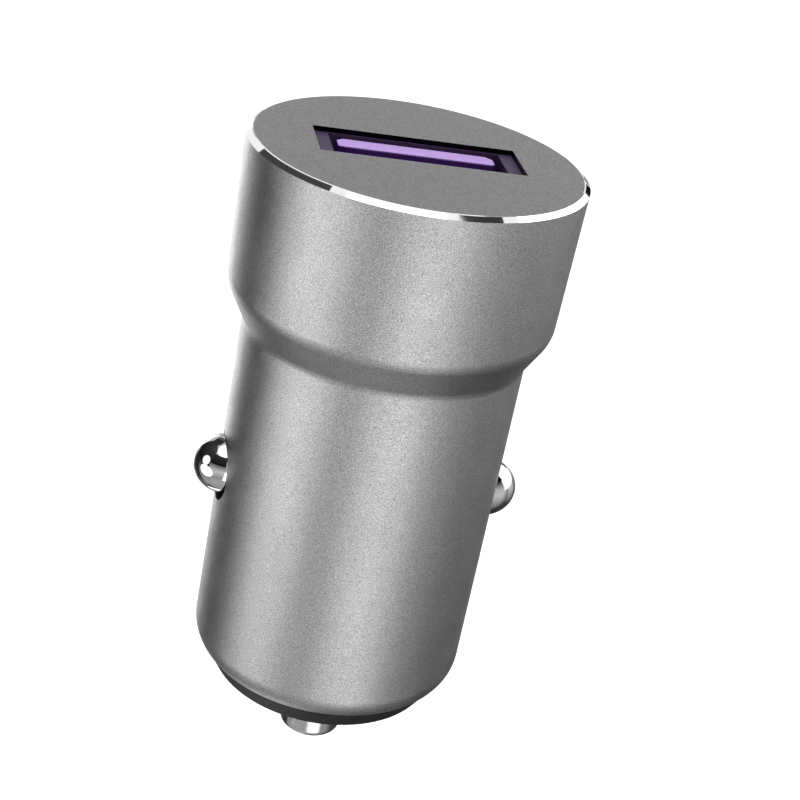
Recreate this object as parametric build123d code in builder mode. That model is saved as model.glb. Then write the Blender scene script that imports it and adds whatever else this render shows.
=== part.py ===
from build123d import *

import os
from math import asin, cos, degrees, radians, sin, sqrt, tan

# A car charger plug: a one-piece turned aluminium shell with a USB port in its face, a sprung
# centre pin in a black tip cap and two sprung side contacts. Millimetres, +Z along the plug's
# axis towards the port, +X along the port's long side, z = 0 where the shoulder meets the barrel.

# Shell, outside
BARREL_RADIUS = 10.3
BARREL_LENGTH = 25.2
BARREL_END_RADIUS = 2.45
BARREL_END_HEIGHT = 1.6
HEAD_HEIGHT = 13.6
RIM_RADIUS = 11.95
RIM_BEVEL_WIDTH = 0.48
RIM_BEVEL_HEIGHT = 0.29
RIM_EDGE_WIDTH = 0.1
RIM_EDGE_HEIGHT = 0.03
HEAD_TAPER = 0.95
SHOULDER_ANGLE = 28.7
SHOULDER_FILLET = 2.1
BARREL_TOP_FILLET = 0.6
FILLET_ROOM = 0.9

# Shell, inside
BARREL_WALL = 1.2
FACE_WALL = 1.2
BORE_CORNER_FILLET = 0.5

# Port in the face, and the standard receptacle behind it
PORT_WIDTH = 14.4
PORT_HEIGHT = 5.1
PORT_SHIFT = 0.3
PLUG_WIDTH = 12.0
PLUG_HEIGHT = 4.5
PLUG_CLEARANCE = 0.1
FRAME_SINK = 0.35
FRAME_GAP = 0.05
FRAME_PLATE = 0.8
FRAME_SKIRT_WALL = 0.9
FRAME_SKIRT_DEPTH = 3.0
RECEPTACLE_SIDE_ROOM = 0.25
RECEPTACLE_FACE_ROOM = 0.31
RECEPTACLE_LENGTH = 11.5
RECEPTACLE_CORNER = 0.7
SHEET_STEEL = 0.3
SHELL_TAB_WIDTH = 1.8
SHELL_TAB_LENGTH = 4.2
SHELL_TAB_SLIT = 0.35
SHELL_TAB_SPACING = 6.2
SHELL_TAB_DROP = 2.4
SHELL_LEG_WIDTH = 1.2
SHELL_LEG_LEVEL = 2.2
SHELL_LEG_END = 0.5
SHELL_LEG_GAP = 0.1
TONGUE_WIDTH = 11.1
TONGUE_THICKNESS = 1.84
TONGUE_OFFSET = 0.97
TONGUE_SINK = 0.5
TONGUE_CORNER = 0.45
INSULATOR_BASE = 3.0
INSULATOR_GAP = 0.05
TERMINAL_WIDTH = 1.0
TERMINAL_THICKNESS = 0.25
TERMINAL_RISE = 0.12
TERMINAL_INNER_PITCH = 2.0
TERMINAL_OUTER_PITCH = 7.0
TERMINAL_SETBACK = 1.0
TERMINAL_BEND = 0.4
TERMINAL_DROP = 1.1
TERMINAL_FOOT = 1.3

# Tip cap, centre pin and its spring
CAP_HEIGHT = 1.9
CAP_SLOPE = 31.7
CAP_STEP = 0.06
CAP_EDGE_FILLET = 0.3
CAP_FLOOR = 2.2
CAP_GAP = 0.05
CAP_SKIRT_WALL = 1.2
CAP_SKIRT_DEPTH = 3.0
TOWER_WALL = 1.0
PIN_RADIUS = 2.4
PIN_EXPOSED = 6.0
PIN_END_FILLET = 0.55
PIN_FIT = 0.08
PIN_FLANGE_STEP = 0.7
PIN_FLANGE_THICKNESS = 1.0
PIN_STOP_GAP = 0.05
PIN_GUIDE_RADIUS = 1.5
PIN_GUIDE_GAP = 1.0
PIN_GUIDE_CHAMFER = 0.3
PIN_TRAVEL = 2.5
SPRING_WIRE = 0.45
SPRING_PITCH = 1.3
SPRING_SIDE_GAP = 0.25
SPRING_END_GAP = 0.05
SEAT_THICKNESS = 0.4
SEAT_EDGE = 0.3
SEAT_TAB_WIDTH = 3.0
SEAT_TAB_HEIGHT = 1.8
SEAT_BOSS_HEIGHT = 0.8

# Side contacts
NOSE_RADIUS = 2.25
NOSE_REACH = 1.96
NOSE_DEPTH = 0.58
NOSE_RISE = 13.3
LEAF_WIDTH = 4.6
LEAF_THICKNESS = 0.35
LEAF_GAP = 0.35
LEAF_OVERLAP = 1.9
LEAF_BEND = 0.35
LEAF_FOOT_GAP = 0.3
LEAF_TAIL = 0.9
WINDOW_SIDE_GAP = 0.3
WINDOW_TOP_GAP = 0.3
WINDOW_BOTTOM_GAP = 0.4

# Circuit board and what it carries
BOARD_THICKNESS = 1.2
BOARD_SIDE_GAP = 0.25
BOARD_TOP_GAP = 0.3
BOARD_CORNER = 0.5
BOARD_GRIP = 1.2
BOARD_GRIP_GAP = 0.1
POST_GAP = 0.75
POST_WALL = 0.8
POST_WIDTH = 2.4
PART_GAP = 0.4
PART_MARGIN = 0.7
INDUCTOR_SIDE = 5.2
INDUCTOR_THICKNESS = 2.8
INDUCTOR_CORNER = 0.8
INDUCTOR_PAD_WIDTH = 3.0
INDUCTOR_PAD_THICKNESS = 0.12
CAN_RADIUS = 2.0
CAN_HEIGHT = 4.0
CAN_FILLET = 0.35
CAN_GROOVE_RADIUS = 0.2
CAN_GROOVE_LEVEL = 1.4
CAN_BASE_SIDE = 4.3
CAN_BASE_HEIGHT = 0.8
CAN_BASE_CHAMFER = 0.8
CHIP_LIFT = 0.15
CHIP_CHAMFER = 0.2
LEAD_THICKNESS = 0.2
CONVERTER_LENGTH = 4.9
CONVERTER_WIDTH = 3.9
CONVERTER_HEIGHT = 1.5
CONVERTER_PITCH = 1.27
CONVERTER_LEAD_COUNT = 4
CONVERTER_REACH = 1.05
PROTOCOL_LENGTH = 2.9
PROTOCOL_WIDTH = 1.6
PROTOCOL_HEIGHT = 1.1
PROTOCOL_PITCH = 0.95
PROTOCOL_LEAD_COUNT = 3
PROTOCOL_REACH = 0.6
DIODE_LENGTH = 4.3
DIODE_WIDTH = 2.6
DIODE_HEIGHT = 2.1
DIODE_TAB = 0.5
FUSE_LENGTH = 4.5
FUSE_WIDTH = 2.0
FUSE_HEIGHT = 1.6
CERAMIC_LENGTH = 2.0
CERAMIC_WIDTH = 1.25
CERAMIC_COUNT = 4
RESISTOR_LENGTH = 1.6
RESISTOR_WIDTH = 0.8
RESISTOR_HEIGHT = 0.45
RESISTOR_COUNT = 5
CHIP_END = 0.35
CHIP_END_STEP = 0.04

# Levels, radii and planes that follow from the sizes above
bore_radius = BARREL_RADIUS - BARREL_WALL
bore_top = HEAD_HEIGHT - FACE_WALL
shell_end = -BARREL_LENGTH - BARREL_END_HEIGHT
end_angle = asin(BARREL_END_HEIGHT / BARREL_END_RADIUS)
shell_end_radius = BARREL_RADIUS - BARREL_END_RADIUS * (1 - cos(end_angle))

frame_radius = bore_radius - FRAME_GAP
frame_plate_bottom = bore_top - FRAME_PLATE
skirt_bottom = frame_plate_bottom - FRAME_SKIRT_DEPTH
entry_width = PLUG_WIDTH + 2 * PLUG_CLEARANCE
entry_height = PLUG_HEIGHT + 2 * PLUG_CLEARANCE
receptacle_width = PLUG_WIDTH + 2 * RECEPTACLE_SIDE_ROOM
receptacle_height = PLUG_HEIGHT + 2 * RECEPTACLE_FACE_ROOM
shell_width = receptacle_width + 2 * SHEET_STEEL
shell_height = receptacle_height + 2 * SHEET_STEEL
receptacle_bottom = frame_plate_bottom - RECEPTACLE_LENGTH
insulator_top = receptacle_bottom + INSULATOR_BASE
tongue_top = HEAD_HEIGHT - TONGUE_SINK
tongue_middle = PORT_SHIFT + TONGUE_OFFSET
tongue_front = tongue_middle - TONGUE_THICKNESS / 2
terminal_back = tongue_front - TERMINAL_RISE + TERMINAL_THICKNESS

nose_tip = BARREL_RADIUS + NOSE_REACH
nose_level = -BARREL_LENGTH + NOSE_RISE
leaf_middle = sqrt(bore_radius**2 - (LEAF_WIDTH / 2) ** 2) - LEAF_GAP - LEAF_THICKNESS / 2
leaf_top = receptacle_bottom + LEAF_OVERLAP
leaf_bottom = nose_level - NOSE_RADIUS - LEAF_TAIL

board_back = PORT_SHIFT - shell_height / 2
board_front = board_back - BOARD_THICKNESS
board_half = sqrt(bore_radius**2 - board_front**2) - BOARD_SIDE_GAP
board_top = skirt_bottom - BOARD_TOP_GAP
post_top = leaf_bottom - POST_GAP
board_bottom = post_top - BOARD_GRIP
terminal_bottom = receptacle_bottom - TERMINAL_DROP - TERMINAL_FOOT
back_plane = Plane(origin=(0, board_back, 0), x_dir=(-1, 0, 0), z_dir=(0, 1, 0))
front_plane = Plane(origin=(0, board_front, 0), x_dir=(1, 0, 0), z_dir=(0, -1, 0))

cap_bottom = shell_end - CAP_HEIGHT
cap_floor_top = cap_bottom + CAP_FLOOR
cap_radius = shell_end_radius - CAP_STEP
cap_skirt_radius = bore_radius - CAP_GAP
tower_top = board_bottom
pin_hole_radius = PIN_RADIUS + PIN_FIT
flange_radius = PIN_RADIUS + PIN_FLANGE_STEP
flange_bottom = cap_floor_top + PIN_STOP_GAP
flange_top = flange_bottom + PIN_FLANGE_THICKNESS
pin_end = cap_bottom - PIN_EXPOSED
pin_guide_top = tower_top - SEAT_BOSS_HEIGHT - PIN_TRAVEL - PIN_GUIDE_GAP
tower_bore = flange_radius + PIN_FIT
tower_radius = tower_bore + TOWER_WALL
spring_radius = tower_bore - SPRING_SIDE_GAP - SPRING_WIRE / 2


def save(part, name):
    """Name a finished piece and write it as its own file."""
    part.label = name
    export_step(part, f"parts/{name}.step")


os.makedirs("parts", exist_ok=True)

# Housing: a turned shell, drilled from the tip, with a rim cut in two bevels, a filleted
# shoulder, a rounded end, the port cut through its face and a window on each side for the
# contacts
rim_bevel_start = RIM_RADIUS - RIM_BEVEL_WIDTH
rim_bevel_level = HEAD_HEIGHT - RIM_BEVEL_HEIGHT
taper = tan(radians(HEAD_TAPER))
slope = tan(radians(SHOULDER_ANGLE))
shoulder_level = (RIM_RADIUS - taper * rim_bevel_level - BARREL_RADIUS) / (slope - taper)
shoulder_radius = BARREL_RADIUS + slope * shoulder_level
shoulder_run = shoulder_level / cos(radians(SHOULDER_ANGLE))
shoulder_need = SHOULDER_FILLET * tan(radians((SHOULDER_ANGLE - HEAD_TAPER) / 2))
shoulder_need += BARREL_TOP_FILLET * tan(radians(SHOULDER_ANGLE / 2))
shoulder_share = min(1, FILLET_ROOM * shoulder_run / shoulder_need)
with BuildPart() as housing:
    with BuildSketch(Plane.XZ) as outside:
        with BuildLine():
            Polyline(
                (0, HEAD_HEIGHT),
                (rim_bevel_start, HEAD_HEIGHT),
                (rim_bevel_start + RIM_EDGE_WIDTH, HEAD_HEIGHT - RIM_EDGE_HEIGHT),
                (RIM_RADIUS, rim_bevel_level),
                (shoulder_radius, shoulder_level),
                (BARREL_RADIUS, 0),
                (BARREL_RADIUS, -BARREL_LENGTH),
            )
            CenterArc(
                (BARREL_RADIUS - BARREL_END_RADIUS, -BARREL_LENGTH),
                BARREL_END_RADIUS,
                0,
                -degrees(end_angle),
            )
            Polyline((shell_end_radius, shell_end), (0, shell_end), (0, HEAD_HEIGHT))
        make_face()
        shoulder = outside.vertices().sort_by_distance((shoulder_radius, shoulder_level))[0]
        fillet(shoulder, radius=SHOULDER_FILLET * shoulder_share)
        barrel_start = outside.vertices().sort_by_distance((BARREL_RADIUS, 0))[0]
        fillet(barrel_start, radius=BARREL_TOP_FILLET * shoulder_share)
    revolve(axis=Axis.Z)
    with BuildSketch(Plane.XY.offset(shell_end)):
        Circle(bore_radius)
    extrude(amount=bore_top - shell_end, mode=Mode.SUBTRACT)
    bore_floor = housing.faces().filter_by(GeomType.PLANE).sort_by(
        lambda face: abs(face.center().Z - bore_top)
    )[0]
    fillet(bore_floor.outer_wire().edges(), radius=BORE_CORNER_FILLET)
    with BuildSketch(Plane.XY.offset(HEAD_HEIGHT)):
        with Locations((0, PORT_SHIFT)):
            Rectangle(PORT_WIDTH, PORT_HEIGHT)
    extrude(amount=-FACE_WALL, mode=Mode.SUBTRACT)
    window_top = nose_level + NOSE_RADIUS + WINDOW_TOP_GAP
    window_bottom = nose_level - NOSE_RADIUS - WINDOW_BOTTOM_GAP
    with BuildSketch(Plane.YZ):
        with Locations((0, (window_top + window_bottom) / 2)):
            RectangleRounded(
                2 * (NOSE_RADIUS + WINDOW_SIDE_GAP),
                window_top - window_bottom,
                NOSE_RADIUS,
            )
    extrude(amount=BARREL_RADIUS, both=True, mode=Mode.SUBTRACT)
save(housing.part, "housing")

# Port frame: a black disc under the face whose collar lines the port and whose skirt holds the
# receptacle's mouth
with BuildPart() as port_frame:
    with BuildSketch(Plane.XY.offset(frame_plate_bottom)):
        Circle(frame_radius)
    extrude(amount=FRAME_PLATE)
    chamfer(port_frame.edges().group_by(Axis.Z)[-1], length=BORE_CORNER_FILLET)
    with BuildSketch(Plane.XY.offset(bore_top)):
        with Locations((0, PORT_SHIFT)):
            Rectangle(PORT_WIDTH - 2 * FRAME_GAP, PORT_HEIGHT - 2 * FRAME_GAP)
    extrude(amount=FACE_WALL - FRAME_SINK)
    with BuildSketch(Plane.XY.offset(skirt_bottom)):
        with Locations((0, PORT_SHIFT)):
            skirt_room = FRAME_GAP + FRAME_SKIRT_WALL
            RectangleRounded(
                shell_width + 2 * skirt_room,
                shell_height + 2 * skirt_room,
                RECEPTACLE_CORNER + skirt_room,
            )
        Circle(frame_radius, mode=Mode.INTERSECT)
        with Locations((0, PORT_SHIFT)):
            RectangleRounded(
                shell_width + 2 * FRAME_GAP,
                shell_height + 2 * FRAME_GAP,
                RECEPTACLE_CORNER + FRAME_GAP,
                mode=Mode.SUBTRACT,
            )
    extrude(amount=FRAME_SKIRT_DEPTH)
    with BuildSketch(Plane.XY.offset(frame_plate_bottom)):
        with Locations((0, PORT_SHIFT)):
            Rectangle(entry_width, entry_height)
    extrude(amount=FRAME_PLATE + FACE_WALL, mode=Mode.SUBTRACT)
save(port_frame.part, "port_frame")

# Receptacle shell: folded sheet with spring tabs in both wide faces and two legs through the board
with BuildPart() as usb_shell:
    with BuildSketch(Plane.XY.offset(receptacle_bottom)):
        with Locations((0, PORT_SHIFT)):
            RectangleRounded(shell_width, shell_height, RECEPTACLE_CORNER)
            RectangleRounded(
                receptacle_width,
                receptacle_height,
                RECEPTACLE_CORNER - SHEET_STEEL,
                mode=Mode.SUBTRACT,
            )
    extrude(amount=RECEPTACLE_LENGTH)
    with BuildSketch(back_plane):
        slit_width = SHELL_TAB_WIDTH + 2 * SHELL_TAB_SLIT
        slit_top = frame_plate_bottom - SHELL_TAB_DROP
        slit_middle = slit_top - (SHELL_TAB_LENGTH + SHELL_TAB_SLIT) / 2
        with Locations((-SHELL_TAB_SPACING / 2, slit_middle), (SHELL_TAB_SPACING / 2, slit_middle)):
            Rectangle(slit_width, SHELL_TAB_LENGTH + SHELL_TAB_SLIT)
            with Locations((0, SHELL_TAB_SLIT / 2)):
                Rectangle(SHELL_TAB_WIDTH, SHELL_TAB_LENGTH, mode=Mode.SUBTRACT)
    extrude(amount=shell_height, mode=Mode.SUBTRACT)
    leg_level = receptacle_bottom + SHELL_LEG_LEVEL
    leg_start = PORT_SHIFT - shell_height / 2 + RECEPTACLE_CORNER + SHELL_LEG_WIDTH
    with BuildSketch(Plane.XY.offset(leg_level - SHELL_LEG_WIDTH / 2)):
        leg_end = board_front - SHELL_LEG_END
        leg_middle = (leg_start + leg_end) / 2
        for side in (-1, 1):
            with Locations((side * (shell_width - SHEET_STEEL) / 2, leg_middle)):
                Rectangle(SHEET_STEEL, leg_start - leg_end)
    extrude(amount=SHELL_LEG_WIDTH)
save(usb_shell.part, "usb_shell")

# Receptacle insulator: a base that fills the shell's end, with the tongue that carries the
# terminals in shallow grooves
terminal_places = {
    "vbus": -TERMINAL_OUTER_PITCH / 2,
    "d_minus": -TERMINAL_INNER_PITCH / 2,
    "d_plus": TERMINAL_INNER_PITCH / 2,
    "ground": TERMINAL_OUTER_PITCH / 2,
}
with BuildPart() as usb_insulator:
    with BuildSketch(Plane.XY.offset(receptacle_bottom)):
        with Locations((0, PORT_SHIFT)):
            RectangleRounded(
                receptacle_width - 2 * INSULATOR_GAP,
                receptacle_height - 2 * INSULATOR_GAP,
                RECEPTACLE_CORNER - SHEET_STEEL,
            )
    extrude(amount=INSULATOR_BASE)
    with BuildSketch(Plane.XY.offset(insulator_top)) as tongue_section:
        with Locations((0, tongue_middle)):
            Rectangle(TONGUE_WIDTH, TONGUE_THICKNESS)
        chamfer(tongue_section.vertices(), length=TONGUE_CORNER)
    extrude(amount=tongue_top - insulator_top)
    with BuildSketch(Plane.XY.offset(receptacle_bottom)):
        channel_depth = TERMINAL_THICKNESS + INSULATOR_GAP
        for place in terminal_places.values():
            with Locations((place, terminal_back - channel_depth / 2)):
                Rectangle(TERMINAL_WIDTH + 2 * INSULATOR_GAP, channel_depth)
    extrude(amount=tongue_top - TERMINAL_SETBACK + INSULATOR_GAP - receptacle_bottom, mode=Mode.SUBTRACT)
save(usb_insulator.part, "usb_insulator")

# Terminals: strips that lie in the tongue, pass through the base and bend over to the board
for name, place in terminal_places.items():
    with BuildPart() as usb_terminal:
        with BuildSketch(Plane.YZ.offset(place - TERMINAL_WIDTH / 2)):
            with BuildLine() as strip:
                along = terminal_back - TERMINAL_THICKNESS / 2
                foot = board_back + TERMINAL_THICKNESS / 2
                bend_level = receptacle_bottom - TERMINAL_DROP
                FilletPolyline(
                    (along, tongue_top - TERMINAL_SETBACK),
                    (along, bend_level),
                    (foot, bend_level),
                    (foot, terminal_bottom),
                    radius=TERMINAL_BEND,
                )
            trace(strip.line, line_width=TERMINAL_THICKNESS)
        extrude(amount=TERMINAL_WIDTH)
    save(usb_terminal.part, f"usb_terminal_{name}")

# Tip cap: its sloped edge carries on the shell's rounded end; inside stand the skirt that plugs
# the bore, the tower round the pin's spring and two posts that grip the board's corners
cap_edge_radius = cap_radius - CAP_HEIGHT * tan(radians(CAP_SLOPE))
with BuildPart() as tip_cap:
    with BuildSketch(Plane.XZ) as cap_section:
        with BuildLine():
            Polyline(
                (pin_hole_radius, cap_bottom),
                (cap_edge_radius, cap_bottom),
                (cap_radius, shell_end),
                (cap_skirt_radius, shell_end),
                (cap_skirt_radius, shell_end + CAP_SKIRT_DEPTH),
                (cap_skirt_radius - CAP_SKIRT_WALL, shell_end + CAP_SKIRT_DEPTH),
                (cap_skirt_radius - CAP_SKIRT_WALL, cap_floor_top),
                (tower_radius, cap_floor_top),
                (tower_radius, tower_top),
                (tower_bore, tower_top),
                (tower_bore, cap_floor_top),
                (pin_hole_radius, cap_floor_top),
                close=True,
            )
        make_face()
        lower_edge = cap_section.vertices().sort_by_distance((cap_edge_radius, cap_bottom))[0]
        fillet(lower_edge, radius=CAP_EDGE_FILLET)
    revolve(axis=Axis.Z)
    with BuildSketch(Plane.XY.offset(cap_floor_top)):
        post_depth = BOARD_THICKNESS + 2 * (BOARD_GRIP_GAP + POST_WALL)
        for side in (-1, 1):
            with Locations((side * (board_half + BOARD_SIDE_GAP), (board_back + board_front) / 2)):
                Rectangle(2 * POST_WIDTH, post_depth)
        Circle(cap_skirt_radius, mode=Mode.INTERSECT)
    extrude(amount=post_top - cap_floor_top)
    with BuildSketch(Plane.XY.offset(board_bottom)):
        with Locations((0, (board_back + board_front) / 2)):
            Rectangle(2 * (board_half + BOARD_GRIP_GAP), BOARD_THICKNESS + 2 * BOARD_GRIP_GAP)
    extrude(amount=BOARD_GRIP, mode=Mode.SUBTRACT)
save(tip_cap.part, "tip_cap")

# Centre pin: turned, with a rounded end, the flange that stops on the cap's floor and a guide
# inside the spring
with BuildPart() as centre_pin:
    with BuildSketch(Plane.XZ) as pin_section:
        with BuildLine():
            Polyline(
                (0, pin_end),
                (PIN_RADIUS, pin_end),
                (PIN_RADIUS, flange_bottom),
                (flange_radius, flange_bottom),
                (flange_radius, flange_top),
                (PIN_GUIDE_RADIUS, flange_top),
                (PIN_GUIDE_RADIUS, pin_guide_top),
                (0, pin_guide_top),
                close=True,
            )
        make_face()
        end_edge = pin_section.vertices().sort_by_distance((PIN_RADIUS, pin_end))[0]
        fillet(end_edge, radius=PIN_END_FILLET)
        guide_edge = pin_section.vertices().sort_by_distance((PIN_GUIDE_RADIUS, pin_guide_top))[0]
        chamfer(guide_edge, length=PIN_GUIDE_CHAMFER)
    revolve(axis=Axis.Z)
save(centre_pin.part, "centre_pin")

# Pin spring: one helix between the flange and the seat plate
spring_bottom = flange_top + SPRING_END_GAP + SPRING_WIRE / 2
spring_top = tower_top - SPRING_END_GAP - SPRING_WIRE / 2
with BuildPart() as pin_spring:
    with BuildLine(Plane.XY.offset(spring_bottom)) as coil:
        Helix(
            pitch=(spring_top - spring_bottom) / round((spring_top - spring_bottom) / SPRING_PITCH),
            height=spring_top - spring_bottom,
            radius=spring_radius,
        )
    with BuildSketch(Plane(origin=coil.line @ 0, z_dir=coil.line % 0)):
        Circle(SPRING_WIRE / 2)
    sweep(is_frenet=True)
save(pin_spring.part, "pin_spring")

# Spring seat: a brass plate on the tower, with a boss inside the spring and a tab up the board
with BuildPart() as spring_seat:
    with BuildSketch(Plane.XY.offset(tower_top)):
        Circle(tower_radius - SEAT_EDGE)
        with Locations((0, board_back - tower_radius)):
            Rectangle(2 * tower_radius, 2 * tower_radius, mode=Mode.SUBTRACT)
    extrude(amount=SEAT_THICKNESS)
    with BuildSketch(Plane.XY.offset(tower_top)):
        Circle(spring_radius - SPRING_WIRE / 2 - SPRING_SIDE_GAP)
    extrude(amount=-SEAT_BOSS_HEIGHT)
    with BuildSketch(back_plane):
        with Locations((0, tower_top + (SEAT_THICKNESS + SEAT_TAB_HEIGHT) / 2)):
            Rectangle(SEAT_TAB_WIDTH, SEAT_THICKNESS + SEAT_TAB_HEIGHT)
    extrude(amount=SEAT_THICKNESS)
save(spring_seat.part, "spring_seat")

# Side contacts: a bent spring leaf with a hollow nose drawn out of it. The right one is made
# and the left one mirrored
with BuildPart() as side_contact_right:
    with BuildSketch(Plane.XZ.offset(-LEAF_WIDTH / 2)):
        with BuildLine() as leaf:
            FilletPolyline(
                (shell_width / 2 + LEAF_FOOT_GAP, leaf_top),
                (leaf_middle, leaf_top),
                (leaf_middle, leaf_bottom),
                radius=LEAF_BEND,
            )
        trace(leaf.line, line_width=LEAF_THICKNESS)
    extrude(amount=LEAF_WIDTH)
    with BuildSketch(Plane.YZ.offset(leaf_middle - LEAF_THICKNESS / 2)):
        with Locations((0, nose_level)):
            Circle(NOSE_RADIUS - LEAF_THICKNESS)
    extrude(amount=LEAF_THICKNESS, mode=Mode.SUBTRACT)
    with BuildSketch(Plane.XZ):
        shoulder_x = BARREL_RADIUS - NOSE_DEPTH
        inner_radius = NOSE_RADIUS - LEAF_THICKNESS
        with BuildLine():
            Line((leaf_middle, nose_level + inner_radius), (leaf_middle, nose_level + NOSE_RADIUS))
            Line((leaf_middle, nose_level + NOSE_RADIUS), (shoulder_x, nose_level + NOSE_RADIUS))
            EllipticalCenterArc(
                (shoulder_x, nose_level),
                nose_tip - shoulder_x,
                NOSE_RADIUS,
                arc_size=90,
            )
            Line((nose_tip, nose_level), (nose_tip - LEAF_THICKNESS, nose_level))
            EllipticalCenterArc(
                (shoulder_x, nose_level),
                nose_tip - shoulder_x - LEAF_THICKNESS,
                inner_radius,
                arc_size=90,
            )
            Line((shoulder_x, nose_level + inner_radius), (leaf_middle, nose_level + inner_radius))
        make_face()
    revolve(axis=Axis((0, 0, nose_level), (1, 0, 0)))
save(side_contact_right.part, "side_contact_right")

with BuildPart() as side_contact_left:
    mirror(side_contact_right.part, about=Plane.YZ)
save(side_contact_left.part, "side_contact_left")

# Circuit board: it stands on the tower between the posts, with slots for the shell's legs
with BuildPart() as circuit_board:
    with BuildSketch(front_plane):
        with Locations((0, (board_top + board_bottom) / 2)):
            RectangleRounded(2 * board_half, board_top - board_bottom, BOARD_CORNER)
        for side in (-1, 1):
            with Locations((side * (shell_width - SHEET_STEEL) / 2, leg_level)):
                Rectangle(
                    SHEET_STEEL + 2 * SHELL_LEG_GAP,
                    SHELL_LEG_WIDTH + 2 * SHELL_LEG_GAP,
                    mode=Mode.SUBTRACT,
                )
    extrude(amount=-BOARD_THICKNESS)
save(circuit_board.part, "circuit_board")


def board_can(name, level):
    """An electrolytic can lying towards the barrel's front, on its chamfered square base."""
    with BuildPart() as can:
        with BuildSketch(front_plane) as base:
            with Locations((0, level)):
                Rectangle(CAN_BASE_SIDE, CAN_BASE_SIDE)
            chamfer(base.vertices().group_by(Axis.Y)[-1], length=CAN_BASE_CHAMFER)
        extrude(amount=CAN_BASE_HEIGHT)
        with BuildSketch(front_plane.offset(CAN_BASE_HEIGHT)):
            with Locations((0, level)):
                Circle(CAN_RADIUS)
        extrude(amount=CAN_HEIGHT - CAN_BASE_HEIGHT)
        end = can.faces().sort_by(Axis.Y)[0]
        fillet(end.edges(), radius=CAN_FILLET)
        groove_plane = Plane(
            origin=(0, board_front, level), x_dir=(1, 0, 0), z_dir=(0, 0, 1)
        )
        with BuildSketch(groove_plane):
            with Locations((CAN_RADIUS + CAN_GROOVE_RADIUS / 2, -CAN_GROOVE_LEVEL)):
                Circle(CAN_GROOVE_RADIUS)
        revolve(axis=Axis((0, board_front, level), (0, 1, 0)), mode=Mode.SUBTRACT)
    save(can.part, name)


def board_chip(name, place, level, length, width, height, pitch, leads, reach):
    """A moulded chip on the board's front, with a row of gull-wing leads down each side."""
    with BuildPart() as chip:
        with BuildSketch(front_plane.offset(CHIP_LIFT)):
            with Locations((place, level)):
                Rectangle(width, length)
        extrude(amount=height - CHIP_LIFT)
        chamfer(chip.faces().sort_by(Axis.Y)[0].edges(), length=CHIP_CHAMFER)
        for side in (-1, 1):
            for index in range(leads):
                lead_level = level + (index - (leads - 1) / 2) * pitch
                lead_plane = Plane(
                    origin=(place, board_front, lead_level),
                    x_dir=(side, 0, 0),
                    z_dir=(0, 0, side),
                )
                with BuildSketch(lead_plane):
                    with BuildLine() as lead:
                        FilletPolyline(
                            (width / 2 - LEAD_THICKNESS, -height / 2),
                            (width / 2 + reach / 2, -height / 2),
                            (width / 2 + reach / 2, -LEAD_THICKNESS / 2),
                            (width / 2 + reach, -LEAD_THICKNESS / 2),
                            radius=LEAD_THICKNESS,
                        )
                    trace(lead.line, line_width=LEAD_THICKNESS)
                extrude(amount=pitch / 6, both=True)
    save(chip.part, name)


def board_blocks(name, places, length, width, height):
    """Chip parts on the board's front: blocks with raised metal ends, long side upright."""
    with BuildPart() as blocks:
        with BuildSketch(front_plane):
            with Locations(places):
                Rectangle(width - 2 * CHIP_END_STEP, length)
        extrude(amount=height - CHIP_END_STEP)
        with BuildSketch(front_plane):
            for place, level in places:
                for end in (-1, 1):
                    with Locations((place, level + end * (length - CHIP_END) / 2)):
                        Rectangle(width, CHIP_END)
        extrude(amount=height)
    save(blocks.part, name)


# Power inductor on the board's back, below the receptacle's terminals
inductor_level = terminal_bottom - PART_GAP - INDUCTOR_SIDE / 2
with BuildPart() as buck_inductor:
    with BuildSketch(back_plane.offset(INDUCTOR_PAD_THICKNESS)) as block:
        with Locations((0, inductor_level)):
            Rectangle(INDUCTOR_SIDE, INDUCTOR_SIDE)
        chamfer(block.vertices(), length=INDUCTOR_CORNER)
    extrude(amount=INDUCTOR_THICKNESS - INDUCTOR_PAD_THICKNESS)
    fillet(buck_inductor.faces().sort_by(Axis.Y)[-1].edges(), radius=INDUCTOR_PAD_THICKNESS)
    with BuildSketch(back_plane):
        for side in (-1, 1):
            pad_middle = side * (INDUCTOR_SIDE / 2 - INDUCTOR_CORNER / 2)
            with Locations((pad_middle, inductor_level)):
                Rectangle(INDUCTOR_CORNER, INDUCTOR_PAD_WIDTH)
    extrude(amount=INDUCTOR_PAD_THICKNESS)
save(buck_inductor.part, "buck_inductor")

# Down the middle of the board's front: fuse, converter chip and the two cans
fuse_level = board_top - PART_GAP - FUSE_LENGTH / 2
converter_level = fuse_level - FUSE_LENGTH / 2 - PART_GAP - CONVERTER_LENGTH / 2
output_can_level = converter_level - CONVERTER_LENGTH / 2 - PART_GAP - CAN_BASE_SIDE / 2
input_can_level = output_can_level - CAN_BASE_SIDE - PART_GAP
board_blocks("fuse", [(0, fuse_level)], FUSE_LENGTH, FUSE_WIDTH, FUSE_HEIGHT)
board_chip(
    "converter_chip",
    0,
    converter_level,
    CONVERTER_LENGTH,
    CONVERTER_WIDTH,
    CONVERTER_HEIGHT,
    CONVERTER_PITCH,
    CONVERTER_LEAD_COUNT,
    CONVERTER_REACH,
)
board_can("output_capacitor", output_can_level)
board_can("input_capacitor", input_can_level)

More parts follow.
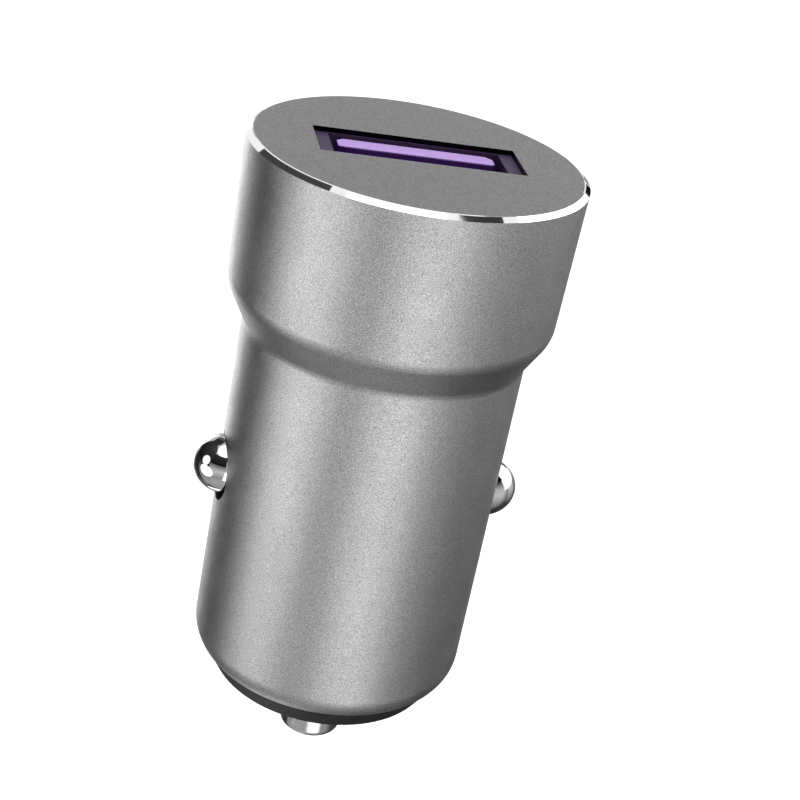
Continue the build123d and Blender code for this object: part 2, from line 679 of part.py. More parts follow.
# Beside them: the port's protocol chip, the diode and the small ceramic parts
side_place = board_half - PART_MARGIN - PROTOCOL_WIDTH / 2 - PROTOCOL_REACH
board_chip(
    "protocol_chip",
    side_place,
    fuse_level,
    PROTOCOL_LENGTH,
    PROTOCOL_WIDTH,
    PROTOCOL_HEIGHT,
    PROTOCOL_PITCH,
    PROTOCOL_LEAD_COUNT,
    PROTOCOL_REACH,
)
diode_place = CAN_BASE_SIDE / 2 + PART_GAP + DIODE_WIDTH / 2
with BuildPart() as flyback_diode:
    with BuildSketch(front_plane):
        with Locations((diode_place, output_can_level)):
            Rectangle(DIODE_WIDTH, DIODE_LENGTH)
    extrude(amount=DIODE_HEIGHT)
    chamfer(flyback_diode.faces().sort_by(Axis.Y)[0].edges(), length=CHIP_CHAMFER)
    with BuildSketch(front_plane):
        with Locations((diode_place, output_can_level)):
            Rectangle(DIODE_WIDTH / 2, DIODE_LENGTH + 2 * DIODE_TAB)
    extrude(amount=LEAD_THICKNESS)
save(flyback_diode.part, "flyback_diode")

ceramic_place = -(CAN_BASE_SIDE / 2 + PART_GAP + CERAMIC_WIDTH / 2)
ceramic_step = CERAMIC_LENGTH + PART_GAP
ceramic_start = output_can_level + (CAN_BASE_SIDE - CERAMIC_LENGTH) / 2
board_blocks(
    "ceramic_capacitors",
    [(ceramic_place, ceramic_start - index * ceramic_step) for index in range(CERAMIC_COUNT)],
    CERAMIC_LENGTH,
    CERAMIC_WIDTH,
    CERAMIC_WIDTH,
)
resistor_place = ceramic_place - (CERAMIC_WIDTH + RESISTOR_WIDTH) / 2 - PART_GAP
resistor_step = RESISTOR_LENGTH + PART_GAP
board_blocks(
    "chip_resistors",
    [(resistor_place, ceramic_start - index * resistor_step) for index in range(RESISTOR_COUNT)],
    RESISTOR_LENGTH,
    RESISTOR_WIDTH,
    RESISTOR_HEIGHT,
)
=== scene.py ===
from math import asin, atan2, cos, degrees, hypot, radians, sin, tan, tau

import bmesh
import bpy
from mathutils import Matrix, Vector


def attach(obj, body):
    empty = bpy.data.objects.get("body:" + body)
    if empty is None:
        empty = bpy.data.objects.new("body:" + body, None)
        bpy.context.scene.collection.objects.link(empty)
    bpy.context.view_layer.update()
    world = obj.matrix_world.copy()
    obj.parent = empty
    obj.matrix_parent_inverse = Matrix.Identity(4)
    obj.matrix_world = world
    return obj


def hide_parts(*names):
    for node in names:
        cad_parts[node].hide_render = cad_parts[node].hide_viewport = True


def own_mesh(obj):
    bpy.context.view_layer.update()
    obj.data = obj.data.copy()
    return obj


# A car charger plug: a blasted aluminium shell with a mirror-cut rim, a violet port, bright
# sprung contacts, a black tip cap and a turned centre pin. Metres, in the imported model's frame.

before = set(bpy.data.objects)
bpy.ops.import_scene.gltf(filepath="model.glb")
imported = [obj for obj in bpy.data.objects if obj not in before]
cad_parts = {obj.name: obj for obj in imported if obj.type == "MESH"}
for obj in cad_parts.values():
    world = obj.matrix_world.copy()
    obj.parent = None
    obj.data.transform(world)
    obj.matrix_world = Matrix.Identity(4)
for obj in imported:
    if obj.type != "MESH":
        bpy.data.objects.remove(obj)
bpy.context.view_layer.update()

MM = 0.001
CLOSE = 0.002 * MM
RING_REACH = 0.01 * MM
QUARTER_TURN = tau / 4

# Shell
RIM_RADIUS = 11.95 * MM
RIM_BEVEL_WIDTH = 0.48 * MM
RIM_BEVEL_HEIGHT = 0.29 * MM
RIM_EDGE_WIDTH = 0.1 * MM
RIM_EDGE_HEIGHT = 0.03 * MM
HEAD_HEIGHT = 13.6 * MM
HEAD_TAPER = radians(0.95)
SHOULDER_ANGLE = radians(28.7)
SHOULDER_FILLET = 2.1 * MM
BARREL_TOP_FILLET = 1.4 * MM
BARREL_RADIUS = 10.3 * MM
BARREL_LENGTH = 25.2 * MM
BARREL_END_RADIUS = 2.45 * MM
BARREL_END_HEIGHT = 1.6 * MM
BORE_RADIUS = 9.1 * MM
BORE_TOP = 12.4 * MM
BORE_FILLET = 0.5 * MM
SHELL_SIDES = 256
FILLET_STEPS = 12
PORT_WIDTH = 14.4 * MM
PORT_HEIGHT = 5.1 * MM
PORT_MIDDLE = 0.3 * MM
WINDOW_WIDTH = 5.1 * MM
WINDOW_TOP = -9.35 * MM
WINDOW_BOTTOM = -14.55 * MM
WINDOW_CORNER = 2.25 * MM
WINDOW_CORNER_STEPS = 24

# Side contacts
NOSE_LEVEL = -11.9 * MM
NOSE_RADIUS = 2.25 * MM
NOSE_TIP = 12.26 * MM
NOSE_SHOULDER = 9.72 * MM
NOSE_SIDES = 128
NOSE_STEPS = 32
LEAF_MIDDLE = 8.2795 * MM
LEAF_THICKNESS = 0.35 * MM
LEAF_WIDTH = 4.6 * MM
LEAF_START = 6.85 * MM
LEAF_TOP = 2.0 * MM
LEAF_BOTTOM = -15.05 * MM
LEAF_BEND = 0.35 * MM
LEAF_BEND_STEPS = 8

# Centre pin
PIN_RADIUS = 2.4 * MM
PIN_END = -34.7 * MM
PIN_END_FILLET = 0.55 * MM
PIN_FLANGE_RADIUS = 3.1 * MM
PIN_FLANGE_BOTTOM = -26.45 * MM
PIN_FLANGE_TOP = -25.45 * MM
PIN_GUIDE_RADIUS = 1.5 * MM
PIN_GUIDE_TOP = -21.3 * MM
PIN_GUIDE_CHAMFER = 0.3 * MM
PIN_SIDES = 128

# Pin spring
SPRING_RADIUS = 2.705 * MM
SPRING_WIRE_RADIUS = 0.225 * MM
SPRING_START = -25.175 * MM
SPRING_END = -17.275 * MM
SPRING_TURNS = 6
SPRING_STEPS = 48
SPRING_SIDES = 24

# Sharpest angle that is still shaded smooth
SHELL_SMOOTH = radians(14)
PIN_SMOOTH = radians(25)
CONTACT_SMOOTH = radians(30)
SPRING_SMOOTH = radians(40)

# How the shell's faces are told apart: by shares of a face's normal, and of the bore's radius
LYING = 0.5
ACROSS_WALL = 0.05
RIM_CUT_TILT = (0.2, 0.999)
WINDOW_REACH = 0.9

# Noise: the part of its range that a finish uses
PATTERN_LOW = 0.3
PATTERN_HIGH = 0.7

# Blasted aluminium: grains and clouds a metre
BLAST_DARK = (0.16, 0.16, 0.16)
BLAST_LIGHT = (0.4, 0.4, 0.4)
BLAST_GRAIN = 16000
BLAST_GRAIN_DETAIL = 1.0
BLAST_CLOUDS = 400
BLAST_CLOUD_DETAIL = 4.0
BLAST_ROUGHNESS = (0.35, 0.41)
BLAST_STRENGTH = 0.8
BLAST_DEPTH = 0.02 * MM

# Turned metals: colour, roughness, pitch and depth of the tool lines
TURNED_METALS = {
    "mirror_cut": ((0.86, 0.86, 0.86), 0.045, 0.02 * MM, 0.0002 * MM),
    "bored_aluminium": ((0.3, 0.3, 0.3), 0.3, 0.05 * MM, 0.01 * MM),
    "pin_nickel": ((0.44, 0.435, 0.43), 0.13, 0.03 * MM, 0.001 * MM),
}
TURNED_CONTRAST = 0.05
TURNED_LINE_DETAIL = 2.0
TURNED_SMEARS = 500
TURNED_UNEVENNESS = 0.15
TURNED_STRENGTH = 0.3

# Plated and bare metals, and the port's walls in painted shade: colour, roughness, grains a metre
# and their depth
PLAIN_METALS = {
    "contact_nickel": ((0.44, 0.435, 0.43), 0.04, 2000, 0.0003 * MM),
    # The port's cut walls are near-black: painted shade, where the aluminium would be bright
    "port_wall_painted_shade": ((0.004, 0.004, 0.004), 0.3, 4000, 0.004 * MM),
    "window_wall": ((0.05, 0.05, 0.052), 0.35, 4000, 0.004 * MM),
    "spring_steel": ((0.5, 0.5, 0.5), 0.25, 3000, 0.004 * MM),
    "sheet_steel": ((0.45, 0.45, 0.46), 0.3, 3000, 0.004 * MM),
    "seat_brass": ((0.7, 0.5, 0.2), 0.3, 3000, 0.004 * MM),
    "gilt_terminal": ((0.75, 0.55, 0.22), 0.2, 3000, 0.002 * MM),
    "can_aluminium": ((0.6, 0.6, 0.6), 0.3, 3000, 0.004 * MM),
}
PLAIN_CONTRAST = 0.06
PLAIN_UNEVENNESS = 0.2
PLAIN_STRENGTH = 0.2

# Moulded, pressed and fired pieces: colour, roughness, grains a metre and their depth, shine
MOULDINGS = {
    "cap_plastic": ((0.01, 0.01, 0.01), 0.55, 5000, 0.02 * MM, 0.1),
    "board_laminate": ((0.02, 0.16, 0.06), 0.35, 3000, 0.01 * MM, 0.5),
    "ferrite": ((0.09, 0.09, 0.095), 0.6, 3000, 0.02 * MM, 0.5),
    "chip_epoxy": ((0.02, 0.02, 0.02), 0.5, 4000, 0.01 * MM, 0.5),
    "ceramic": ((0.4, 0.3, 0.2), 0.3, 4000, 0.004 * MM, 0.5),
}
MOULDED_CONTRAST = 0.12
MOULDED_UNEVENNESS = 0.1
MOULDED_STRENGTH = 0.3

# Plastics with painted shade: colour below a level, which is painted shade, colour above it, that
# level, roughness
PAINTED_SHADE_PLASTICS = {
    # Port frame: dark plastic; its darker colour below the level is painted shade deep in the
    # port, and the violet tint of both colours is painted light off the tongue
    "frame_plastic": ((0.022, 0.008, 0.043), (0.028, 0.012, 0.052), 13.2 * MM, 0.55),
    # The tongue's dark violet below the level and at its front is painted shade; the light violet
    # is its own colour
    "violet_plastic_painted_shade": ((0.035, 0.001, 0.1), (0.41, 0.265, 0.6), 13.05 * MM, 0.5),
}
BANDED_GRAIN = 5000
BANDED_GRAIN_RANGE = (0.2, 0.8)
BANDED_SHADES = (0.94, 1.06)
BANDED_DEPTH = 0.01 * MM
# The tongue's top in front of this line takes the dark violet: painted shade
TONGUE_SHADE_LINE = 0.6 * MM

# Camera
CAMERA_PLACE = Vector((-0.02501, -0.11094, 0.04934))
CAMERA_AIM = Vector((0.214, 0.876, -0.4321)).normalized()
CAMERA_RIGHT = Vector((0.972, -0.148, 0.1804)).normalized()
CAMERA_LENS = 77.69
CAMERA_SENSOR = 36
CAMERA_REACH = 50

# Floor and surroundings
FLOOR_LEVEL = -0.62
FLOOR_SIZE = 8.0
FLOOR_COLOUR = (0.8, 0.8, 0.8, 1)
FLOOR_ROUGHNESS = 0.9
FLOOR_GLOW = 0.7
AMBIENT_LEVEL = 0.7
BACKDROP_LEVEL = 1.0
WHITE = (1, 1, 1, 1)

# Lamps: azimuth, height, seen width and height in degrees, radiance, shape
LAMP_DISTANCE = 0.38
LAMPS = (
    ("left_round", -80, 9, 32, 30, 2.4, "DISK"),
    ("left_low", -70, -23, 48, 38, 2.9, "ELLIPSE"),
    ("front_low", 10, -28, 42, 38, 2.1, "RECTANGLE"),
    ("right_side", 108, 30, 66, 52, 2.2, "ELLIPSE"),
    ("overhead", -32, 72, 58, 58, 2.2, "DISK"),
    ("left_rim", -163, -10, 22, 46, 1.9, "RECTANGLE"),
    ("under_strip", -157, -72, 14.5, 26, 1.9, "ELLIPSE"),
)

# Cards: azimuths, heights in degrees, brightness at foot and top, distance
CARD_DISTANCE = 0.55
CARD_NEARER = 0.54
CARD_IN_FRONT = 0.5
CARD_SIDES = 360
CARD_STEPS = 36
CARD_MARGIN = 0.1
CARDS = (
    ("left_wall", (-149, -60), (0, 46), (0.01, 0.07), CARD_DISTANCE),
    ("left_near_wall", (-60, -8), (12, 46), (0.01, 0.06), CARD_DISTANCE),
    ("left_high", (-149, -70), (46, 58), (0.1, 0.1), CARD_DISTANCE),
    ("left_top_low", (-192, -173), (6, 26.5), (0.56, 0.56), CARD_DISTANCE),
    ("left_top_edge", (-168, -158), (28, 60), (0.16, 0.16), CARD_DISTANCE),
    ("rim_flag", (-158, -122), (29.3, 64.5), (0.055, 0.055), CARD_IN_FRONT),
    ("left_back_foot", (-138, -104), (-65, -46), (0.42, 0.05), CARD_DISTANCE),
    ("left_back", (-138, -104), (-46, 0), (0.07, 0.03), CARD_DISTANCE),
    ("left_behind", (-155, -138), (-65, 0), (0.1, 0.5), CARD_DISTANCE),
    ("left_gap", (-104, -60), (-65, 0), (0.68, 0.0), CARD_DISTANCE),
    ("front_left_foot", (-60, -8), (-65, -40), (0.75, 0.66), CARD_DISTANCE),
    ("front_left_low", (-60, -8), (-40, -10), (0.5, 1.15), CARD_DISTANCE),
    ("front_left_high", (-60, -8), (-10, 12), (1.0, 0.2), CARD_DISTANCE),
    ("front_foot", (-8, 38), (-65, -42), (1.2, 0.74), CARD_DISTANCE),
    ("front_low_card", (-8, 38), (-42, -10), (0.58, 1.07), CARD_DISTANCE),
    ("front_high", (-8, 38), (-10, 12), (1.05, 0.8), CARD_DISTANCE),
    ("right_low", (38, 64), (-65, -10), (0.25, 1.1), CARD_DISTANCE),
    ("right_high", (38, 64), (-10, 8), (1.1, 0.9), CARD_DISTANCE),
    ("right_turn_0", (64, 69), (-65, 4), (0.15, 1.2), CARD_DISTANCE),
    ("right_turn_1", (69, 74), (-65, 4), (0.13, 0.96), CARD_DISTANCE),
    ("right_turn_2", (74, 79), (-65, 4), (0.11, 0.72), CARD_DISTANCE),
    ("right_turn_3", (79, 84), (-65, 4), (0.095, 0.54), CARD_DISTANCE),
    ("right_fade", (38, 68), (8, 32), (0.9, 0.03), CARD_DISTANCE),
    ("right_back_low", (84, 165), (-65, -40), (0.05, 0.1), CARD_DISTANCE),
    ("right_back_middle", (84, 113), (-40, -1), (0.07, 1.2), CARD_DISTANCE),
    ("right_back_edge", (113, 143), (-40, -1), (0.05, 0.5), CARD_DISTANCE),
    ("right_bright", (68, 141), (0, 30), (2.2, 2.2), CARD_NEARER),
    ("right_edge", (139, 153), (0.8, 10.2), (0.004, 0.004), CARD_IN_FRONT),
    ("right_low_edge", (146, 158), (-8, 0.8), (0.3, 0.3), CARD_IN_FRONT),
    ("wedge", (45, 76), (32, 52), (0.01, 0.01), CARD_IN_FRONT),
    ("behind", (143, 184), (-40, -14), (0.12, 0.12), CARD_DISTANCE),
    ("back_high", (143, 170), (18, 49), (0.34, 0.34), CARD_DISTANCE),
    ("back_low", (165, 205), (-65, -40), (0.27, 0.27), CARD_DISTANCE),
    ("top_flag", (92, 112), (58.7, 74), (0.04, 0.04), CARD_IN_FRONT),
    ("low_right", (0, 108), (-90, -65), (0.34, 0.34), CARD_DISTANCE),
    ("low_right_back", (108, 180), (-90, -65), (0.12, 0.12), CARD_DISTANCE),
    ("low_left", (-100, 0), (-90, -65), (0.64, 0.64), CARD_DISTANCE),
    ("low_back", (-180, -100), (-90, -65), (0.15, 0.15), CARD_DISTANCE),
)


def link(tree, start, end):
    """Join an output socket to an input socket."""
    tree.links.new(start, end)


def new_material(name, kind="BsdfPrincipled"):
    """A material with only one shader, joined to its output."""
    material = bpy.data.materials.new(name)
    material.use_nodes = True
    tree = material.node_tree
    tree.nodes.clear()
    output = tree.nodes.new("ShaderNodeOutputMaterial")
    shader = tree.nodes.new(f"ShaderNode{kind}")
    link(tree, shader.outputs[0], output.inputs["Surface"])
    return material, tree, shader


def noise(tree, place, scale, detail=3.0):
    """A noise pattern on the given coordinates."""
    node = tree.nodes.new("ShaderNodeTexNoise")
    node.inputs["Scale"].default_value = scale
    node.inputs["Detail"].default_value = detail
    link(tree, place, node.inputs["Vector"])
    return node.outputs["Fac"]


def spread(tree, value, low, high, start=0.0, end=1.0):
    """Map a value from one range to another, clamped."""
    node = tree.nodes.new("ShaderNodeMapRange")
    node.inputs["From Min"].default_value = low
    node.inputs["From Max"].default_value = high
    node.inputs["To Min"].default_value = start
    node.inputs["To Max"].default_value = end
    link(tree, value, node.inputs["Value"])
    return node.outputs["Result"]


def uneven(tree, pattern, middle, share):
    """A value that a pattern moves down and up by a share of itself."""
    low, high = middle * (1 - share), middle * (1 + share)
    return spread(tree, pattern, PATTERN_LOW, PATTERN_HIGH, low, high)


def maths(tree, operation, first, second=None):
    """One sum on a socket, with a second socket or plain number where it takes two."""
    node = tree.nodes.new("ShaderNodeMath")
    node.operation = operation
    link(tree, first, node.inputs[0])
    if isinstance(second, float):
        node.inputs[1].default_value = second
    elif second is not None:
        link(tree, second, node.inputs[1])
    return node.outputs["Value"]


def blend_colours(tree, factor, first, second):
    """Mix two colours by a pattern."""
    node = tree.nodes.new("ShaderNodeMix")
    node.data_type = "RGBA"
    link(tree, factor, node.inputs["Factor"])
    node.inputs["A"].default_value = (*first, 1.0)
    node.inputs["B"].default_value = (*second, 1.0)
    return node.outputs["Result"]


def lighter(colour, share):
    """A colour made lighter by a share of itself."""
    return tuple(min(1.0, channel * (1 + share)) for channel in colour)


def bump(tree, height, strength, distance):
    """Turn a height pattern into a bumped normal."""
    node = tree.nodes.new("ShaderNodeBump")
    node.inputs["Strength"].default_value = strength
    node.inputs["Distance"].default_value = distance
    link(tree, height, node.inputs["Height"])
    return node.outputs["Normal"]


def object_place(tree):
    """The piece's own coordinates."""
    return tree.nodes.new("ShaderNodeTexCoord").outputs["Object"]


def place_parts(tree, place):
    """The coordinates' three numbers."""
    node = tree.nodes.new("ShaderNodeSeparateXYZ")
    link(tree, place, node.inputs["Vector"])
    return node.outputs["X"], node.outputs["Y"], node.outputs["Z"]


def turning_lines(tree, place, pitch, along_axis):
    """Fine uneven tool lines round the axis, stacked along it or out from it."""
    across, deep, high = place_parts(tree, place)
    if along_axis:
        run = high
    else:
        squares = [maths(tree, "MULTIPLY", part, part) for part in (across, deep)]
        run = maths(tree, "SQRT", maths(tree, "ADD", *squares))
    node = tree.nodes.new("ShaderNodeTexNoise")
    node.noise_dimensions = "1D"
    node.inputs["Scale"].default_value = 1 / pitch
    node.inputs["Detail"].default_value = TURNED_LINE_DETAIL
    link(tree, run, node.inputs["W"])
    return node.outputs["Fac"]


def blasted_aluminium():
    """Fine-blasted, anodised grey metal: a tight sparkling grain over faint clouds."""
    material, tree, shader = new_material("blasted_aluminium")
    place = object_place(tree)
    grain = noise(tree, place, BLAST_GRAIN, BLAST_GRAIN_DETAIL)
    clouds = noise(tree, place, BLAST_CLOUDS, BLAST_CLOUD_DETAIL)
    tone = spread(tree, grain, PATTERN_LOW, PATTERN_HIGH)
    polish = spread(tree, clouds, PATTERN_LOW, PATTERN_HIGH, *BLAST_ROUGHNESS)
    link(tree, blend_colours(tree, tone, BLAST_DARK, BLAST_LIGHT), shader.inputs["Base Color"])
    shader.inputs["Metallic"].default_value = 1.0
    link(tree, polish, shader.inputs["Roughness"])
    link(tree, bump(tree, grain, BLAST_STRENGTH, BLAST_DEPTH), shader.inputs["Normal"])
    return material


def turned_metal(name, along_axis=True):
    """A turned metal with tool lines round its axis."""
    colour, roughness, pitch, depth = TURNED_METALS[name]
    material, tree, shader = new_material(name)
    place = object_place(tree)
    lines = turning_lines(tree, place, pitch, along_axis)
    smears = noise(tree, place, TURNED_SMEARS)
    shades = blend_colours(tree, lines, colour, lighter(colour, TURNED_CONTRAST))
    link(tree, shades, shader.inputs["Base Color"])
    shader.inputs["Metallic"].default_value = 1.0
    link(tree, uneven(tree, smears, roughness, TURNED_UNEVENNESS), shader.inputs["Roughness"])
    link(tree, bump(tree, lines, TURNED_STRENGTH, depth), shader.inputs["Normal"])
    return material


def plain_metal(name):
    """A plated or bare metal with a fine uneven polish."""
    colour, roughness, scale, depth = PLAIN_METALS[name]
    material, tree, shader = new_material(name)
    grain = noise(tree, object_place(tree), scale)
    shades = blend_colours(tree, grain, colour, lighter(colour, PLAIN_CONTRAST))
    link(tree, shades, shader.inputs["Base Color"])
    shader.inputs["Metallic"].default_value = 1.0
    link(tree, uneven(tree, grain, roughness, PLAIN_UNEVENNESS), shader.inputs["Roughness"])
    link(tree, bump(tree, grain, PLAIN_STRENGTH, depth), shader.inputs["Normal"])
    return material


def moulded_plastic(name):
    """A moulded plastic, or another matt piece, with a fine grain."""
    colour, roughness, scale, depth, shine = MOULDINGS[name]
    material, tree, shader = new_material(name)
    grain = noise(tree, object_place(tree), scale)
    shades = blend_colours(tree, grain, colour, lighter(colour, MOULDED_CONTRAST))
    link(tree, shades, shader.inputs["Base Color"])
    shader.inputs["Specular IOR Level"].default_value = shine
    link(tree, uneven(tree, grain, roughness, MOULDED_UNEVENNESS), shader.inputs["Roughness"])
    link(tree, bump(tree, grain, MOULDED_STRENGTH, depth), shader.inputs["Normal"])
    return material


def plastic_with_painted_shade(name, front=None):
    """A moulded plastic in two colours: the darker one below a level and, if given, before a line
    is painted shade; the upper one lies above the level and past the line.
    """
    lower, upper, level, roughness = PAINTED_SHADE_PLASTICS[name]
    material, tree, shader = new_material(name)
    place = object_place(tree)
    deep, high = place_parts(tree, place)[1:]
    above = maths(tree, "GREATER_THAN", high, level)
    if front is not None:
        above = maths(tree, "MULTIPLY", above, maths(tree, "GREATER_THAN", deep, front))
    grain = noise(tree, place, BANDED_GRAIN)
    shade = tree.nodes.new("ShaderNodeVectorMath")
    shade.operation = "SCALE"
    link(tree, blend_colours(tree, above, lower, upper), shade.inputs[0])
    link(tree, spread(tree, grain, *BANDED_GRAIN_RANGE, *BANDED_SHADES), shade.inputs["Scale"])
    link(tree, shade.outputs["Vector"], shader.inputs["Base Color"])
    link(tree, uneven(tree, grain, roughness, MOULDED_UNEVENNESS), shader.inputs["Roughness"])
    link(tree, bump(tree, grain, MOULDED_STRENGTH, BANDED_DEPTH), shader.inputs["Normal"])
    return material


def dress(names, material):
    """Give CAD nodes a material."""
    for name in names:
        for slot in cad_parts[name].material_slots:
            slot.material = material


def edit():
    """Go into edit mode."""
    bpy.ops.object.mode_set(mode="EDIT")


def leave_edit():
    """Go back to object mode."""
    bpy.ops.object.mode_set(mode="OBJECT")


def choose(piece):
    """Make a piece the only one selected, and the active one."""
    bpy.ops.object.select_all(action="DESELECT")
    piece.select_set(True)
    bpy.context.view_layer.objects.active = piece


def pick(kind, test):
    """Select, in edit mode, what passes a test: vertices by place and normal, edges by their two
    ends, or faces by middle and normal."""
    bpy.ops.mesh.select_mode(type=kind)
    bpy.ops.mesh.select_all(action="DESELECT")
    data = bpy.context.object.data
    shape = bmesh.from_edit_mesh(data)
    if kind == "VERT":
        for vertex in shape.verts:
            vertex.select_set(test(vertex.co, vertex.normal))
    elif kind == "EDGE":
        for edge in shape.edges:
            edge.select_set(test(edge.verts[0].co, edge.verts[1].co))
    else:
        for face in shape.faces:
            face.select_set(test(face.calc_center_median(), face.normal))
    bmesh.update_edit_mesh(data)


def settle(piece, smooth_angle):
    """Put a piece's place in its mesh and shade it smooth up to its sharp edges."""
    choose(piece)
    bpy.ops.object.transform_apply(location=True, rotation=True, scale=True)
    bpy.ops.object.shade_smooth_by_angle(angle=smooth_angle)


def name_new(name):
    """Name the primitive just added, and its mesh."""
    piece = bpy.context.object
    piece.name = name
    piece.data.name = name
    return piece


def face_outward():
    """Turn all faces of the piece in edit mode outward."""
    bpy.ops.mesh.select_all(action="SELECT")
    bpy.ops.mesh.normals_make_consistent(inside=False)


def weld():
    """Join the piece's doubled vertices in edit mode, and turn its faces outward."""
    bpy.ops.mesh.select_all(action="SELECT")
    bpy.ops.mesh.remove_doubles(threshold=CLOSE / 2)
    face_outward()


def arc(middle, width, height, start, end, steps):
    """Points of an outline on a round or oval about a middle, from one angle to another."""
    radius, level = middle
    turns = [start + (end - start) * step / steps for step in range(steps + 1)]
    return [(radius + width * cos(turn), level + height * sin(turn)) for turn in turns]


def turned(name, outline, sides):
    """A turned piece: a disk at the outline's start, extruded and resized from point to point."""
    radius, level = outline[0]
    bpy.ops.object.select_all(action="DESELECT")
    bpy.ops.mesh.primitive_circle_add(vertices=sides, radius=radius, location=(0, 0, level))
    piece = name_new(name)
    bpy.ops.object.transform_apply(location=True, rotation=False, scale=False)
    edit()
    bpy.ops.mesh.select_mode(type="EDGE")
    bpy.ops.mesh.select_all(action="SELECT")
    bpy.ops.mesh.edge_face_add()
    for next_radius, next_level in outline[1:]:
        rise = (0, 0, next_level - level)
        share = next_radius / radius
        bpy.ops.mesh.extrude_edges_move(TRANSFORM_OT_translate={"value": rise})
        bpy.ops.transform.resize(value=(share, share, 1), center_override=(0, 0, next_level))
        radius, level = next_radius, next_level
    bpy.ops.mesh.edge_face_add()
    weld()
    leave_edit()
    return piece


def round_ring(piece, radius, level, offset):
    """Round a turned piece's corner ring, with the run given on each side of it."""
    choose(piece)
    edit()

    def on_ring(first, second):
        return all(
            abs(end.z - level) < CLOSE and abs(hypot(end.x, end.y) - radius) < RING_REACH
            for end in (first, second)
        )

    pick("EDGE", on_ring)
    bpy.ops.mesh.bevel(
        offset=offset,
        offset_type="OFFSET",
        segments=FILLET_STEPS,
        profile=0.5,
        affect="EDGES",
    )
    leave_edit()


def block(name, low, high):
    """A plain block between two corners."""
    bpy.ops.object.select_all(action="DESELECT")
    middle = [(start + end) / 2 for start, end in zip(low, high)]
    size = [end - start for start, end in zip(low, high)]
    bpy.ops.mesh.primitive_cube_add(size=1, location=middle, scale=size)
    piece = name_new(name)
    bpy.ops.object.transform_apply(location=True, rotation=False, scale=True)
    return piece


def combine(piece, tool, operation):
    """Cut a piece with another, or grow it by another, which is then gone."""
    choose(piece)
    modifier = piece.modifiers.new(operation.lower(), "BOOLEAN")
    modifier.operation = operation
    modifier.solver = "EXACT"
    modifier.object = tool
    bpy.ops.object.modifier_apply(modifier=modifier.name)
    bpy.data.objects.remove(tool)


def paint(piece, material, test):
    """Give the faces that pass a test their own material."""
    choose(piece)
    piece.data.materials.append(material)
    piece.active_material_index = len(piece.data.materials) - 1
    edit()
    pick("FACE", test)
    bpy.ops.object.material_slot_assign()
    leave_edit()


